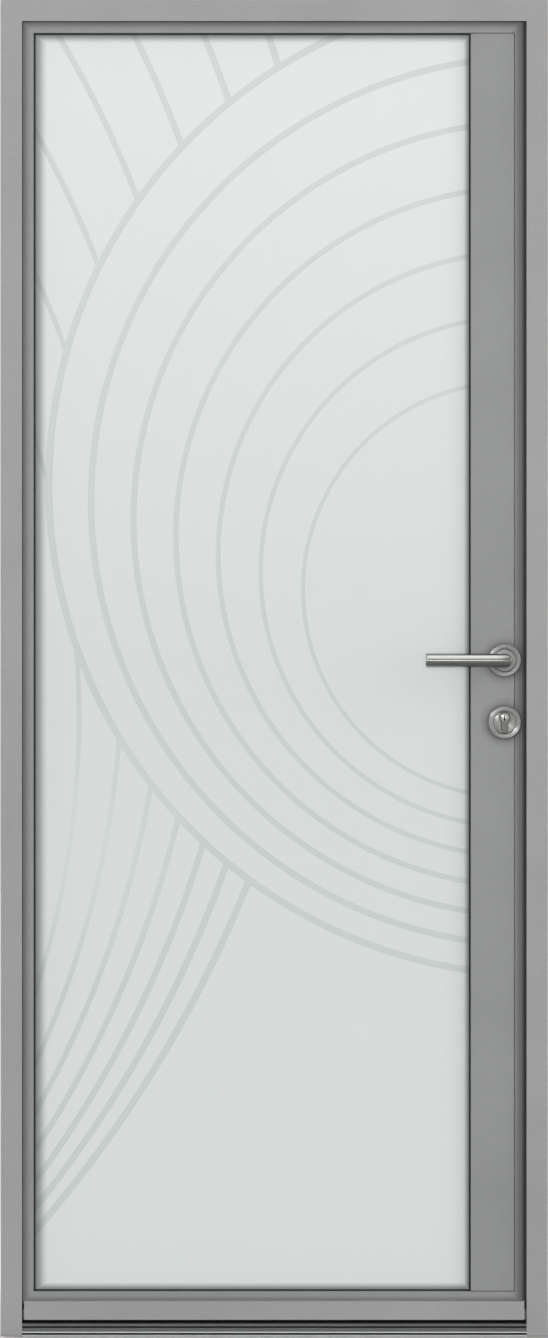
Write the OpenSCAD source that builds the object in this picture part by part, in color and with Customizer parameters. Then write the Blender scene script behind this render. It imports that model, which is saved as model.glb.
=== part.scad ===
// Exterior entrance door in its frame, without the wall.
// Aluminium profiles with thermal breaks, a frosted double glazing unit with etched rings,
// a flush lock strip, lever handles, a three point lock and a ribbed threshold.
// Millimetres, +Z up. The outside faces -Y, the leaf opens inwards to +Y.
// Origin: on the floor under the middle of the frame.

/* [Frame] */
// Overall width of the frame
frame_w = 880; // [800:10:1000]
// Overall height of the frame
frame_h = 2150; // [2100:10:2300]
// Depth of the frame from outside to inside
frame_d = 80; // [78:1:90]
// Width of the frame face seen from outside
frame_face = 34; // [32:1:40]
// Thickness of the jamb behind its lip
frame_body = 19; // [18:1:20]
// Thickness of the lip that the leaf closes against
lip_t = 13; // [12:0.5:15]
// Wall of the aluminium profiles
wall = 2; // [1.6:0.1:2.2]
// Rounding of the visible profile edges
edge_r = 0.8; // [0.4:0.1:1.2]

/* [Leaf] */
// Air gap between leaf edge and jamb
leaf_gap = 5; // [4.5:0.5:6]
// How far the leaf lies behind the frame face
leaf_recess = 18; // [17:0.5:20]
// Width of the leaf border seen from outside
leaf_border = 18.5; // [17:0.5:24]
// Width of the leaf profile behind the glazing edge
tube_w = 18; // [17:0.5:19]
// Depth of the outer aluminium shell
outer_d = 14; // [13:0.5:16]
// Depth of the inner aluminium shell
inner_d = 14; // [13:0.5:16]

/* [Glazing] */
// Thickness of the frosted outer pane
outer_pane_t = 6; // [5:0.5:7]
// Width of the sealed space between the panes
cavity = 16; // [14:1:18]
// Thickness of the clear inner pane
inner_pane_t = 6; // [4:0.5:8]
// Thickness of the outer glazing gasket
gasket_t = 4; // [3:0.5:5]
// Thickness of the inner glazing gasket
bead_gasket_t = 3; // [2:0.5:4]
// Black edge of the outer gasket that shows beside the profile
gasket_show = 3; // [1:0.5:4]
// Gap around the glass, also the thickness of the setting blocks
edge_gap = 3; // [2:0.5:4]
// How far the glazing beads reach past the outer sight line
bead_reach = 7.5; // [3:0.5:12]

/* [Etched rings] */
// Rings in each family
ring_count = 7; // [1:1:9]
// Depth of the etching
ring_depth = 0.5; // [0.2:0.1:1]
// Middle of the widest right ring, across from the door centre
right_x = 429; // [350:1:500]
// Middle of the widest right ring above the floor
right_z = 1372; // [1200:1:1500]
// Radius of the widest right ring
right_r = 792.6; // [700:0.1:850]
// Line width of the widest right ring
right_line = 11.3; // [6:0.1:16]
// Step from the middle of one right ring to the next, across
right_step_x = -8.1; // [-12:0.1:0]
// Step from the middle of one right ring to the next, upwards
right_step_z = -28.5; // [-40:0.1:-15]
// Middle of the smallest left ring, across from the door centre
left_x = -1743.7; // [-1800:0.1:-1700]
// Middle of the smallest left ring above the floor
left_z = 996; // [900:1:1100]
// Radius of the smallest left ring
left_r = 1429.2; // [1380:0.1:1480]
// Line width of the smallest left ring
left_line = 7.5; // [4:0.1:12]
// Step from the middle of one left ring to the next, across
left_step_x = -19.8; // [-30:0.1:-10]
// Step from the middle of one left ring to the next, upwards
left_step_z = 76.6; // [60:0.1:90]

/* [Lock strip] */
// Width of the flush strip on the lock side
strip_w = 70; // [66:1:90]
// Shadow gap around the strip
strip_gap = 1; // [0.5:0.1:2]

/* [Threshold and door bottom] */
// Height of the threshold
threshold_h = 20; // [18:0.5:24]
// How far the threshold nose stands in front of the frame
nose_reach = 22; // [10:1:40]
// Gap between threshold and leaf
sill_gap = 6; // [5:0.5:8]
// Height of the profile under the leaf
door_bottom_h = 16.5; // [15:0.5:24]
// Height of the drip bar
drip_h = 31.5; // [26:0.5:40]
// How far the drip bar stands out from the leaf
drip_reach = 16; // [10:0.5:17]
// Gap between drip bar and frame at each end
drip_end_gap = 3.5; // [3:0.1:8]

/* [Lock] */
// Distance from the leaf edge to the handle axis
backset = 45; // [42:0.5:48]
// Height of the handle axis above the floor
handle_z = 1087; // [1000:1:1150]
// Distance from the handle axis down to the cylinder axis
cylinder_drop = 92; // [92:1:100]
// How far the spring latch stands out of the leaf
latch_throw = 12; // [9:0.5:13]
// How far the dead bolt moves out
bolt_throw = 20; // [15:0.5:20]
// How far the rods at top and bottom move out
rod_throw = 18; // [12:0.5:19]
// Diameter of the locking rods
rod_d = 8; // [6:0.5:9]

/* [Handle] */
// Diameter of the round roses
rose_d = 52; // [48:0.5:56]
// Thickness of the roses
rose_t = 9; // [7:0.5:12]
// Diameter of the ring step on the roses
rose_step_d = 36; // [30:0.5:40]
// Diameter of the lever tube
lever_d = 22; // [19:0.5:24]
// Length of the lever from its axis to the free end
lever_len = 127; // [110:1:145]
// Distance from the leaf face to the middle of the grip
lever_reach = 50; // [44:0.5:60]
// Side of the square spindle
spindle_w = 8; // [7:0.5:9]

/* [Hinges] */
// Distance of the outer hinges from the foot and the top of the frame
hinge_end = 250; // [180:5:400]
// Height of one hinge
hinge_h = 100; // [80:1:140]
// Diameter of the hinge barrel
barrel_d = 18; // [14:0.5:18.5]
// Diameter of the hinge pin
pin_d = 8; // [6:0.5:9]
// Distance of the hinge axis from the inside face
hinge_out = 12; // [12:0.5:16]

/* [Fixing holes] */
// Diameter of the holes for the frame screws
fix_d = 8.5; // [6:0.5:10]
// Height of the lowest frame screw
fix_low_z = 200; // [150:10:300]
// Distance between the frame screws of a pair
fix_pitch = 600; // [400:10:650]
// Distance between the screws in the frame head
fix_head_pitch = 500; // [300:10:600]

/* [Fits] */
// Radial play of turning and sliding round parts
run_fit = 0.06; // [0.03:0.01:0.1]
// Play around flat sliding parts and between parts that pass each other
slide_gap = 0.5; // [0.4:0.05:0.7]
// Play of the break bars and gaskets in their grooves
groove_fit = 0.1; // [0.05:0.05:0.2]

/* [Hidden] */
$fn = 48;
over = 1;
reach = 150;

// depth of the faces, from outside to inside
y_frame_out = -frame_d / 2;
y_frame_in = frame_d / 2;
y_lip = y_frame_out + lip_t;
y_leaf_out = y_frame_out + leaf_recess;
y_leaf_in = y_frame_in;
y_break_out = y_leaf_out + outer_d;
y_break_in = y_leaf_in - inner_d;
y_glass = y_break_out + gasket_t;
y_cavity = y_glass + outer_pane_t;
y_inner_pane = y_cavity + cavity;
y_unit_in = y_inner_pane + inner_pane_t;
y_bead = y_unit_in + bead_gasket_t;
lock_y = (y_break_out + y_break_in) / 2;

// outlines seen from the front, as left, right, bottom, top
frame_x = frame_w / 2;
leaf_x = frame_x - frame_body - leaf_gap;
door_bottom_z = threshold_h + sill_gap;
leaf_z0 = door_bottom_z + door_bottom_h;
leaf_z1 = frame_h - frame_body - leaf_gap;
sight = frame_face - frame_body - leaf_gap + leaf_border;
rebate = sight - tube_w;
frame_box = [-frame_x, frame_x, 0, frame_h];
leaf_box = [-leaf_x, leaf_x, leaf_z0, leaf_z1];
strip_x1 = leaf_x - sight - strip_gap;
strip_x0 = strip_x1 - strip_w;
glass_box = [-leaf_x + sight, strip_x0, leaf_z0 + sight, leaf_z1 - sight];
glass_lap = rebate - edge_gap;
post_x0 = strip_x0 + rebate;
post_x1 = leaf_x - tube_w;

// break bars
break_wall = 5;
tongue = 3;
bar_t = 2;
bar_inset = 3;
frame_bars = [1, frame_body - 5];
leaf_tongues = [bar_inset + 2, tube_w - 4];
chamber_in = y_break_in + break_wall;

// setting blocks under the glass
block_l = 100;

// corner cleats
cleat_arm = 70;
leaf_cleat_arm = 60;

// ribbed top of the threshold
tread_count = 4;
tread_pitch = 5;
tread_w = 1.6;
tread_d = 0.8;

// seal on the frame lip
seal_gap = y_leaf_out - y_lip;
seal_u = (frame_body + leaf_gap + frame_face) / 2;
seal_groove_d = 4;
seal_foot_w = 3;
seal_back = 4;
seal_show = 1.2;

// lock
edge_plate_t = 3;
edge_plate_w = 24;
handle_x = leaf_x - backset;
cylinder_z = handle_z - cylinder_drop;
case_t = 15;
case_wall = 1.5;
case_back = 28;
case_down = 65;
case_up = 83;
plate_end = 50;
case_x1 = leaf_x - edge_plate_t;
case_x0 = handle_x - case_back;
case_z0 = cylinder_z - case_down;
case_z1 = handle_z + case_up;
bolt_t = 11;
latch_h = 28;
latch_rise = 30;
latch_z = handle_z + latch_rise;
deadbolt_h = 35;
deadbolt_l = 50;
deadbolt_rise = 40.5;
deadbolt_z = cylinder_z + deadbolt_rise;
follower_r = 13;
boss_r = 10;
cam_gap = 10;
cam_r = 15.3;
plug_r = 6.5;
profile_r = 8.5;
web_r = 5;
profile_h = 33;
bridge_h = 8.3;
cylinder_y0 = y_leaf_out - rose_t - 2;
cylinder_y1 = y_leaf_in + rose_t + 2;
rod_x = leaf_x - bar_inset - 7;
rod_play = 0.5;
keep_t = 3;
keep_w = 24;
head_keep_l = 30;

// hinges
hinge_x = -frame_x + frame_body + leaf_gap / 2 + 0.5;
hinge_y = y_leaf_in + hinge_out;
hinge_levels = [hinge_end, frame_h / 2, frame_h - hinge_end];
flap_t = min(hinge_out - barrel_d / 2 - 0.4, 4);

// colours of the parts
grey = "#9c9c9b";
mill = "#b9bab8";
steel = "#a3a29e";
black = "#1d1e1f";
nylon = "#333436";
frost = "#dfe4e2";
clear_glass = "#cfe0da";
brass = "#b09a5c";

// Outline helpers

function unit(v) = v / norm(v);

// Points that replace the corner b between a and c by an arc of radius r.
function corner_arc(a, b, c, r) =
    r <= 0 ? [b] :
    let (
        p = unit(a - b),
        q = unit(c - b),
        half = acos(p * q) / 2,
        middle = b + unit(p + q) * r / sin(half),
        start = b + p * r / tan(half) - middle,
        end = b + q * r / tan(half) - middle,
        a0 = atan2(start[1], start[0]),
        raw = atan2(end[1], end[0]) - a0,
        turn = raw > 180 ? raw - 360 : raw < -180 ? raw + 360 : raw
    )
    [for (i = [0:3]) middle + r * [cos(a0 + turn * i / 3), sin(a0 + turn * i / 3)]];

// Outline through corners given as [x, y, radius].
function rounded(corners) =
    let (n = len(corners))
    [for (i = [0:n - 1])
        let (a = corners[(i + n - 1) % n], b = corners[i], c = corners[(i + 1) % n])
        each corner_arc([a[0], a[1]], [b[0], b[1]], [c[0], c[1]], b[2])];

module rect(x0, x1, y0, y1) {
    translate([x0, y0])
        square([x1 - x0, y1 - y0]);
}

module block(x0, x1, y0, y1, z0, z1) {
    translate([x0, y0, z0])
        cube([x1 - x0, y1 - y0, z1 - z0]);
}

// Extrudes an outline drawn in x and z from depth y0 to depth y1.
module through_y(y0, y1) {
    translate([0, y1, 0])
        rotate([90, 0, 0])
            linear_extrude(y1 - y0)
                children();
}

// Extrudes a section drawn in y and z along x, the same length to both sides.
module along_x(half) {
    rotate([90, 0, 90])
        linear_extrude(2 * half, center = true)
            children();
}

// Rectangular ring that reaches out and in from the outline of a box.
module box_ring(box, out, in, y0, y1) {
    difference() {
        block(box[0] - out, box[1] + out, y0, y1, box[2] - out, box[3] + out);
        block(box[0] + in, box[1] - in, y0 - over, y1 + over, box[2] + in, box[3] - in);
    }
}

// Profile bars along the sides of a box, mitred where they meet.
// The section is drawn in u, measured inwards from the side, and in depth y.

module left_bar(box, foot = false) {
    intersection() {
        translate([box[0], 0, box[2] - reach])
            linear_extrude(box[3] - box[2] + 2 * reach)
                children();
        through_y(-reach, reach)
            polygon([
                [box[0] - reach, foot ? box[2] : box[2] - reach],
                [box[0] - reach, box[3] + reach],
                [box[0] + reach, box[3] - reach],
                [box[0] + reach, foot ? box[2] : box[2] + reach]
            ]);
    }
}

module right_bar(box, foot = false) {
    translate([box[0] + box[1], 0, 0])
        mirror([1, 0, 0])
            left_bar(box, foot)
                children();
}

module top_bar(box) {
    intersection() {
        translate([box[0] - reach, 0, box[3]])
            rotate([0, 90, 0])
                linear_extrude(box[1] - box[0] + 2 * reach)
                    children();
        through_y(-reach, reach)
            polygon([
                [box[0] - reach, box[3] + reach],
                [box[1] + reach, box[3] + reach],
                [box[1] - reach, box[3] - reach],
                [box[0] + reach, box[3] - reach]
            ]);
    }
}

module bottom_bar(box) {
    translate([0, 0, box[2] + box[3]])
        mirror([0, 0, 1])
            top_bar(box)
                children();
}

// Profile sections

module frame_outer_section() {
    difference() {
        polygon(rounded([
            [0, y_frame_out, edge_r],
            [frame_face, y_frame_out, edge_r],
            [frame_face, y_lip, edge_r],
            [frame_body, y_lip, 0],
            [frame_body, y_break_out, 0],
            [0, y_break_out, 0]
        ]));
        rect(wall, frame_body - wall, y_frame_out + wall, y_break_out - break_wall);
        rect(wall, frame_face - wall, y_frame_out + wall, y_lip - seal_groove_d - wall);
        rect(seal_u - seal_foot_w / 2, seal_u + seal_foot_w / 2, y_lip - seal_groove_d, y_lip + over);
        for (u = frame_bars)
            rect(u - groove_fit, u + bar_t + groove_fit,
                y_break_out - tongue - groove_fit, y_break_out + over);
    }
}

module frame_inner_section() {
    difference() {
        polygon(rounded([
            [0, y_break_in, 0],
            [frame_body, y_break_in, 0],
            [frame_body, y_frame_in, edge_r],
            [0, y_frame_in, edge_r]
        ]));
        rect(wall, frame_body - wall, chamber_in, y_frame_in - wall);
        for (u = frame_bars)
            rect(u - groove_fit, u + bar_t + groove_fit,
                y_break_in - over, y_break_in + tongue + groove_fit);
    }
}

module frame_bar_section() {
    for (u = frame_bars)
        rect(u, u + bar_t, y_break_out - tongue, y_break_in + tongue);
}

module seal_section() {
    rect(seal_u - seal_foot_w / 2 + groove_fit, seal_u + seal_foot_w / 2 - groove_fit,
        y_lip - seal_groove_d + groove_fit, y_lip + over);
    polygon(rounded([
        [seal_u - seal_back, y_lip, 0],
        [frame_face - 2 * edge_r, y_lip, 0],
        [frame_face + seal_show, y_lip + 1.5, 1],
        [frame_face + seal_show, y_lip + seal_gap - 0.3, 1],
        [seal_u - seal_back, y_lip + seal_gap - 0.3, 1.5]
    ]));
}

module leaf_outer_section() {
    difference() {
        polygon(rounded([
            [0, y_leaf_out, edge_r],
            [sight, y_leaf_out, edge_r],
            [sight, y_break_out, 0],
            [0, y_break_out, 0]
        ]));
        rect(wall, sight - wall, y_leaf_out + wall, y_break_out - break_wall);
        for (u = leaf_tongues)
            rect(u - groove_fit, u + bar_t + groove_fit,
                y_break_out - tongue - groove_fit, y_break_out + over);
    }
}

module leaf_inner_section() {
    difference() {
        polygon(rounded([
            [0, y_break_in, 0],
            [tube_w, y_break_in, 0],
            [tube_w, y_leaf_in, 0],
            [0, y_leaf_in, edge_r]
        ]));
        rect(wall, tube_w - wall, chamber_in, y_leaf_in - wall);
        for (u = leaf_tongues)
            rect(u - groove_fit, u + bar_t + groove_fit,
                y_break_in - over, y_break_in + tongue + groove_fit);
    }
}

module leaf_bar_section() {
    difference() {
        union() {
            rect(bar_inset, tube_w, y_break_out, y_break_in);
            for (u = leaf_tongues)
                rect(u, u + bar_t, y_break_out - tongue, y_break_in + tongue);
        }
        rect(bar_inset + bar_t, tube_w - bar_t, y_break_out + bar_t, y_break_in - bar_t);
    }
}

module bead_section() {
    difference() {
        polygon(rounded([
            [-rebate, y_bead, 0],
            [bead_reach, y_bead, 0.5],
            [bead_reach, y_leaf_in - 4, 1],
            [bead_reach - 4, y_leaf_in, 1],
            [-rebate, y_leaf_in, 0]
        ]));
        rect(-rebate + wall, bead_reach - 5, y_bead + wall, y_leaf_in - wall);
    }
}

// Euro profile of the lock cylinder, larger by play.
module euro_profile(play = 0) {
    circle(profile_r + play);
    rect(-web_r - play, web_r + play, profile_r - profile_h + web_r, 0);
    translate([0, profile_r - profile_h + web_r])
        circle(web_r + play);
}

module at_cylinder() {
    translate([handle_x, 0, cylinder_z])
        children();
}

module at_handle() {
    translate([handle_x, 0, handle_z])
        children();
}

// Holes for spindle and cylinder through everything between the roses.
module lock_holes(y0, y1) {
    at_handle()
        through_y(y0, y1)
            circle(boss_r + 1);
    at_cylinder()
        through_y(y0, y1)
            euro_profile(1);
}

// Room for the lock case through the edge of the leaf.
module case_room() {
    block(post_x1 - wall - over, leaf_x + over,
        lock_y - case_t / 2 - slide_gap, lock_y + case_t / 2 + slide_gap,
        case_z0 - slide_gap, case_z1 + slide_gap);
}

// Vertical hole for a locking rod.
module rod_hole(z0, z1) {
    translate([rod_x, lock_y, z0])
        cylinder(d = rod_d + 2 * rod_play, h = z1 - z0);
}

// Openings for latch and dead bolt, larger by play.
module bolt_openings(x0, x1, play) {
    block(x0, x1, lock_y - bolt_t / 2 - play, lock_y + bolt_t / 2 + play,
        latch_z - latch_h / 2 - play, latch_z + latch_h / 2 + play);
    block(x0, x1, lock_y - bolt_t / 2 - play, lock_y + bolt_t / 2 + play,
        deadbolt_z - deadbolt_h / 2 - play, deadbolt_z + deadbolt_h / 2 + play);
}

// Screw holes through the jambs, drawn on the left side.
module jamb_fixings() {
    for (z = [fix_low_z, fix_low_z + fix_pitch, frame_h - fix_low_z - fix_pitch, frame_h - fix_low_z])
        translate([-frame_x - over, (y_lip + y_break_out - break_wall) / 2, z])
            rotate([0, 90, 0])
                cylinder(d = fix_d, h = frame_body + 2 * over);
}

module head_fixings() {
    for (x = [-fix_head_pitch / 2, fix_head_pitch / 2])
        translate([x, (y_lip + y_break_out - break_wall) / 2, frame_h - frame_body - over])
            cylinder(d = fix_d, h = frame_body + 2 * over);
}

// Frame

module hinge_jamb_outer() {
    color(grey)
        difference() {
            left_bar(frame_box, true)
                frame_outer_section();
            jamb_fixings();
        }
}

module hinge_jamb_inner() {
    color(grey)
        left_bar(frame_box, true)
            frame_inner_section();
}

module lock_jamb_outer() {
    color(grey)
        mirror([1, 0, 0])
            hinge_jamb_outer();
}

module lock_jamb_inner() {
    color(grey)
        right_bar(frame_box, true)
            frame_inner_section();
}

module head_outer() {
    color(grey)
        difference() {
            top_bar(frame_box)
                frame_outer_section();
            head_fixings();
        }
}

module head_inner() {
    color(grey)
        top_bar(frame_box)
            frame_inner_section();
}

module frame_breaks() {
    color(nylon) {
        left_bar(frame_box, true)
            frame_bar_section();
        difference() {
            right_bar(frame_box, true)
                frame_bar_section();
            bolt_openings(frame_x - frame_body, frame_x - bar_inset, 1.5);
        }
        difference() {
            top_bar(frame_box)
                frame_bar_section();
            rod_hole(frame_h - frame_body, frame_h - bar_inset);
        }
        difference() {
            block(-frame_x + frame_body, frame_x - frame_body, y_break_out, y_break_in, 0, threshold_h);
            rod_hole(2, threshold_h + over);
        }
    }
}

module frame_cleats() {
    arm = cleat_arm;
    play = 2 * groove_fit;
    u0 = wall + play;
    u1 = frame_body - wall - play;
    color(mill)
        for (side = [0, 1])
            mirror([side, 0, 0])
                through_y(y_frame_out + wall + play, y_break_out - break_wall - play) {
                    rect(-frame_x + u0, -frame_x + u1, frame_h - arm, frame_h - u0);
                    rect(-frame_x + u0, -frame_x + arm, frame_h - u1, frame_h - u0);
                }
}

module threshold_outer_section() {
    face = y_frame_out + 1.5;
    groove = face + 6;
    nose = y_frame_out - nose_reach;
    difference() {
        polygon([
            [y_break_out, 0],
            [nose, 0],
            [nose, 1.2],
            [groove, 1.8],
            [groove, 4.8],
            [face - 2.5, 4.8],
            [face - 2.5, 5.2],
            [face - 1.2, 6.5],
            [face, 6.8],
            [face, 12.6],
            [groove, 12.6],
            [groove, 15.4],
            [face, 15.4],
            [face, threshold_h - 0.6],
            [face + 1, threshold_h],
            [y_break_out, threshold_h]
        ]);
        rect(groove + wall, y_break_out - wall, wall, threshold_h - wall);
        for (i = [1:tread_count])
            rect(face + i * tread_pitch, face + i * tread_pitch + tread_w,
                threshold_h - tread_d, threshold_h + over);
    }
}

module threshold_outer() {
    color(mill) {
        along_x(frame_x - frame_face)
            threshold_outer_section();
        along_x(frame_x - frame_body)
            intersection() {
                threshold_outer_section();
                rect(y_lip, y_break_out, 0, threshold_h);
            }
    }
}

module threshold_inner() {
    color(mill)
        along_x(frame_x - frame_body)
            difference() {
                polygon([
                    [y_break_in, 0],
                    [y_frame_in, 0],
                    [y_frame_in, threshold_h - 3],
                    [y_frame_in - 3, threshold_h],
                    [y_break_in, threshold_h]
                ]);
                rect(y_break_in + wall, y_frame_in - wall, wall, threshold_h - wall - 2);
            }
}

module frame_seal() {
    seal_box = [-frame_x, frame_x, threshold_h, frame_h];
    color(black) {
        left_bar(seal_box, true)
            seal_section();
        right_bar(seal_box, true)
            seal_section();
        top_bar(seal_box)
            seal_section();
    }
}

module lock_keep() {
    x0 = frame_x - frame_body;
    color(steel)
        difference() {
            block(x0, x0 + keep_t, lock_y - keep_w / 2, lock_y + keep_w / 2,
                deadbolt_z - deadbolt_h / 2 - 20, latch_z + latch_h / 2 + 20);
            bolt_openings(x0 - over, x0 + keep_t + over, 1);
        }
}

module head_keep() {
    z0 = frame_h - frame_body;
    color(steel)
        difference() {
            block(rod_x - head_keep_l / 2, rod_x + head_keep_l / 2,
                lock_y - keep_w / 2, lock_y + keep_w / 2, z0, z0 + keep_t);
            rod_hole(z0 - over, z0 + keep_t + over);
        }
}

// Hinges

// Barrel half with its arm, drawn around the axis with the arm on the side given by sx.
module knuckle(z0, z1, sx) {
    translate([hinge_x, hinge_y, z0])
        linear_extrude(z1 - z0) {
            circle(d = barrel_d);
            rect(sx < 0 ? -barrel_d / 2 : 0, sx < 0 ? 0 : barrel_d / 2, -hinge_out, 0);
        }
}

module hinge_bore(z0, z1) {
    translate([hinge_x, hinge_y, z0])
        cylinder(d = pin_d + 2 * run_fit, h = z1 - z0);
}

module hinge_jamb_flaps() {
    color(steel)
        for (z = hinge_levels)
            difference() {
                union() {
                    block(-frame_x + 1, -frame_x + frame_body - 0.5, y_frame_in, y_frame_in + flap_t,
                        z - hinge_h / 2, z + hinge_h / 2);
                    intersection() {
                        knuckle(z - hinge_h / 2, z - slide_gap / 2, -1);
                        union() {
                            block(-frame_x, -frame_x + frame_body - 0.5, y_frame_in, y_frame_in + reach,
                                z - hinge_h, z + hinge_h);
                            block(-frame_x, 0, y_frame_in + flap_t + 0.4, y_frame_in + reach,
                                z - hinge_h, z + hinge_h);
                        }
                    }
                }
                hinge_bore(z - hinge_h, z + hinge_h);
            }
}

module hinge_leaf_flaps() {
    color(steel)
        for (z = hinge_levels)
            difference() {
                union() {
                    block(-leaf_x + 1, -leaf_x + tube_w - 0.5, y_leaf_in, y_leaf_in + flap_t,
                        z - hinge_h / 2, z + hinge_h / 2);
                    intersection() {
                        knuckle(z + slide_gap / 2, z + hinge_h / 2, 1);
                        union() {
                            block(-leaf_x + 1, 0, y_leaf_in, y_leaf_in + reach, z - hinge_h, z + hinge_h);
                            block(-frame_x, 0, y_leaf_in + flap_t + 0.4, y_leaf_in + reach,
                                z - hinge_h, z + hinge_h);
                        }
                    }
                }
                hinge_bore(z - hinge_h, z + hinge_h);
            }
}

module hinge_pins() {
    color(steel)
        for (z = hinge_levels)
            translate([hinge_x, hinge_y, z - hinge_h / 2])
                cylinder(d = pin_d, h = hinge_h);
}

// Leaf

module hinge_stile_outer() {
    color(grey)
        left_bar(leaf_box)
            leaf_outer_section();
}

module hinge_stile_inner() {
    color(grey)
        left_bar(leaf_box)
            leaf_inner_section();
}

module lock_stile_outer() {
    color(grey)
        right_bar(leaf_box)
            leaf_outer_section();
}

module lock_stile_inner() {
    color(grey)
        right_bar(leaf_box)
            leaf_inner_section();
}

module top_rail_outer() {
    color(grey)
        top_bar(leaf_box)
            leaf_outer_section();
}

module top_rail_inner() {
    color(grey)
        top_bar(leaf_box)
            leaf_inner_section();
}

module bottom_rail_outer() {
    color(grey)
        bottom_bar(leaf_box)
            leaf_outer_section();
}

module bottom_rail_inner() {
    color(grey)
        bottom_bar(leaf_box)
            leaf_inner_section();
}

module leaf_breaks() {
    color(nylon) {
        left_bar(leaf_box)
            leaf_bar_section();
        difference() {
            right_bar(leaf_box)
                leaf_bar_section();
            case_room();
        }
        difference() {
            top_bar(leaf_box)
                leaf_bar_section();
            rod_hole(leaf_z1 - tube_w, leaf_z1 + over);
        }
        difference() {
            bottom_bar(leaf_box)
                leaf_bar_section();
            rod_hole(leaf_z0 - over, leaf_z0 + tube_w);
        }
    }
}

module leaf_cleats() {
    arm = leaf_cleat_arm;
    play = 2 * groove_fit;
    u0 = wall + play;
    u1 = sight - wall - play;
    mid_z = (leaf_z0 + leaf_z1) / 2;
    color(mill)
        for (side = [0, 1], end = [0, 1])
            mirror([side, 0, 0])
                translate([0, 0, mid_z])
                    mirror([0, 0, end])
                        through_y(y_leaf_out + wall + play, y_break_out - break_wall - play) {
                            rect(-leaf_x + u0, -leaf_x + u1, leaf_z1 - mid_z - arm, leaf_z1 - mid_z - u0);
                            rect(-leaf_x + u0, -leaf_x + arm, leaf_z1 - mid_z - u1, leaf_z1 - mid_z - u0);
                        }
}

module lock_post() {
    color(mill)
        difference() {
            block(post_x0, post_x1, y_break_out, y_break_in, leaf_z0 + tube_w, leaf_z1 - tube_w);
            block(post_x0 + wall, post_x1 - wall, y_break_out + wall, y_break_in - wall,
                leaf_z0, leaf_z1);
            case_room();
            lock_holes(y_break_out - over, y_break_in + over);
        }
}

module lock_strip_outer() {
    color(grey)
        difference() {
            translate([strip_x0, 0, glass_box[2] + strip_gap])
                linear_extrude(glass_box[3] - glass_box[2] - 2 * strip_gap)
                    difference() {
                        polygon(rounded([
                            [0, y_leaf_out, edge_r],
                            [strip_w, y_leaf_out, edge_r],
                            [strip_w, y_break_out, 0],
                            [0, y_break_out, 0]
                        ]));
                        rect(wall, strip_w - wall, y_leaf_out + wall, y_break_out - wall);
                    }
            lock_holes(y_leaf_out - over, y_break_out + over);
        }
}

module lock_strip_inner() {
    color(grey)
        difference() {
            block(post_x0, post_x1 - strip_gap, y_break_in, y_leaf_in,
                leaf_z0 + tube_w + strip_gap, leaf_z1 - tube_w - strip_gap);
            block(post_x0 + wall, post_x1 - strip_gap - wall, y_break_in + wall, y_leaf_in - wall,
                leaf_z0, leaf_z1);
            lock_holes(y_break_in - over, y_leaf_in + over);
        }
}

// Glazing

function right_ring_r(i) = right_r - 0.0964 * right_r * i;
function left_ring_r(i) = left_r + 0.0619 * left_r * i;

// Flat ring of the given middle radius and line width.
module ring_line(r, line) {
    difference() {
        circle(r + line / 2, $fn = 720);
        circle(r - line / 2, $fn = 720);
    }
}

// Two families of rings that grow away from each other; the left family stops at the right one.
module etched_rings() {
    for (i = [0:ring_count - 1])
        translate([right_x + right_step_x * i, right_z + right_step_z * i])
            ring_line(right_ring_r(i), right_line * (1 - 0.069 * i));
    difference() {
        for (i = [0:ring_count - 1])
            translate([left_x + left_step_x * i, left_z + left_step_z * i])
                ring_line(left_ring_r(i), left_line * (1 + 0.087 * i));
        translate([right_x, right_z])
            circle(right_r, $fn = 720);
    }
}

module outer_pane() {
    color(frost)
        difference() {
            block(glass_box[0] - glass_lap, glass_box[1] + glass_lap, y_glass, y_cavity,
                glass_box[2] - glass_lap, glass_box[3] + glass_lap);
            through_y(y_glass - over, y_glass + ring_depth)
                intersection() {
                    etched_rings();
                    rect(glass_box[0] - glass_lap - over, glass_box[1] + glass_lap + over,
                        glass_box[2] - glass_lap - over, glass_box[3] + glass_lap + over);
                }
        }
}

module pane_spacer() {
    color(black)
        box_ring(glass_box, glass_lap - 1, bead_reach, y_cavity, y_inner_pane);
}

module inner_pane() {
    color(clear_glass)
        block(glass_box[0] - glass_lap, glass_box[1] + glass_lap, y_inner_pane, y_unit_in,
            glass_box[2] - glass_lap, glass_box[3] + glass_lap);
}

module outer_gasket() {
    color(black)
        box_ring(glass_box, glass_lap, gasket_show, y_break_out, y_glass);
}

module inner_gasket() {
    color(black)
        box_ring(glass_box, glass_lap, bead_reach - 1, y_unit_in, y_bead);
}

module hinge_side_bead() {
    color(grey)
        left_bar(glass_box)
            bead_section();
}

module lock_side_bead() {
    color(grey)
        right_bar(glass_box)
            bead_section();
}

module top_bead() {
    color(grey)
        top_bar(glass_box)
            bead_section();
}

module bottom_bead() {
    color(grey)
        bottom_bar(glass_box)
            bead_section();
}

module setting_blocks() {
    middle = (glass_box[0] + glass_box[1]) / 2;
    quarter = (glass_box[1] - glass_box[0]) / 4;
    color(black)
        for (x = [middle - quarter, middle + quarter])
            block(x - block_l / 2, x + block_l / 2, y_glass, y_unit_in,
                glass_box[2] - rebate, glass_box[2] - glass_lap);
}

// Door bottom

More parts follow.
